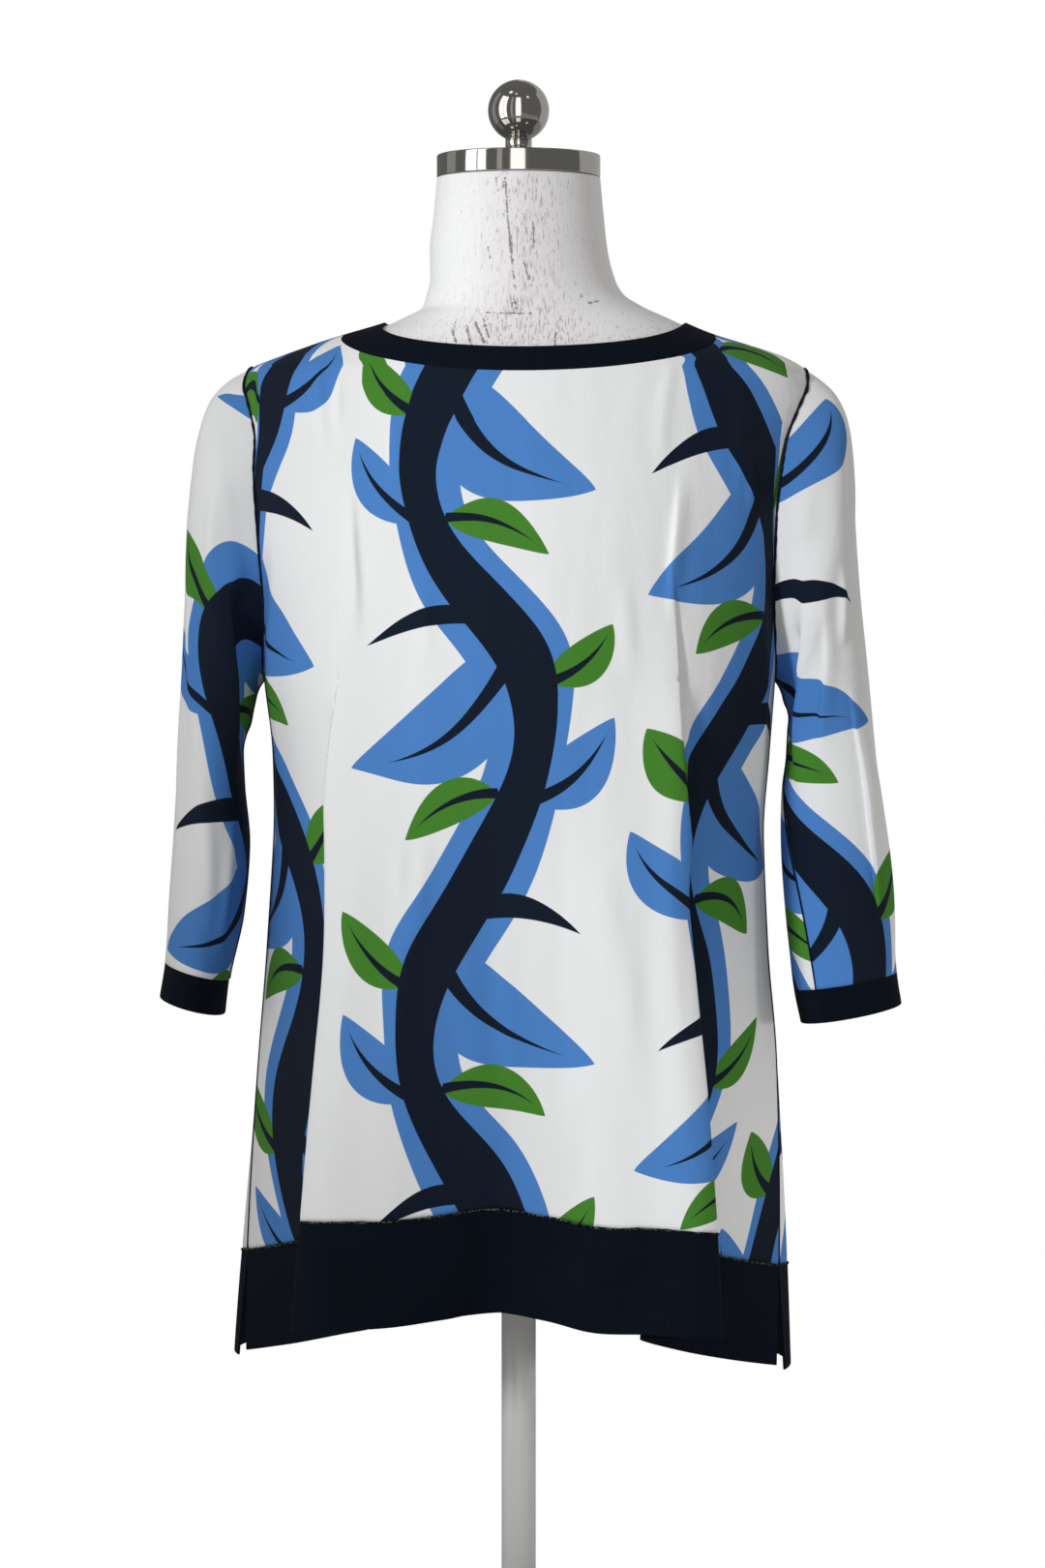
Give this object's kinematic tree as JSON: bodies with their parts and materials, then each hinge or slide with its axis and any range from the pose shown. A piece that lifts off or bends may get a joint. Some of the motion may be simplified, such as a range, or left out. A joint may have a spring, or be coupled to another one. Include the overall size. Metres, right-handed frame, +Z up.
{
  "type": "tunic top on a dress form",
  "caption": "Boat-neck tunic top with set-in sleeves, plain bands at neck, cuffs and hem and short side vents, on a limbless dress form with a round base.",
  "frame": {"origin": "centre of the base plate's underside, on the floor", "axes": "+Z up the pole, the front faces -Y, +X towards the sleeve on the right of the front view"},
  "size_m": [0.5385, 0.35, 1.1455],
  "materials": {
    "printed_crepe": "matt off-white crepe with a printed vine of blue and green leaves and navy stems",
    "navy_jersey": "matt navy jersey",
    "crackled_paint": "whitewashed paint with fine cracks",
    "polished_metal": "polished, slightly dulled metal",
    "painted_stand": "satin white paint"
  },
  "bodies": {
    "root": {"front_panel": "printed_crepe", "back_panel": "printed_crepe", "sleeve_left": "printed_crepe", "sleeve_right": "printed_crepe", "neck_band_front": "navy_jersey", "neck_band_back": "navy_jersey", "cuff_left": "navy_jersey", "cuff_right": "navy_jersey", "hem_band_front": "navy_jersey", "hem_band_back": "navy_jersey", "form_torso": "crackled_paint", "stand_pole": "painted_stand", "stand_base": "painted_stand", "neck_cap": "polished_metal", "finial": "polished_metal"}
  },
  "joints": []
}
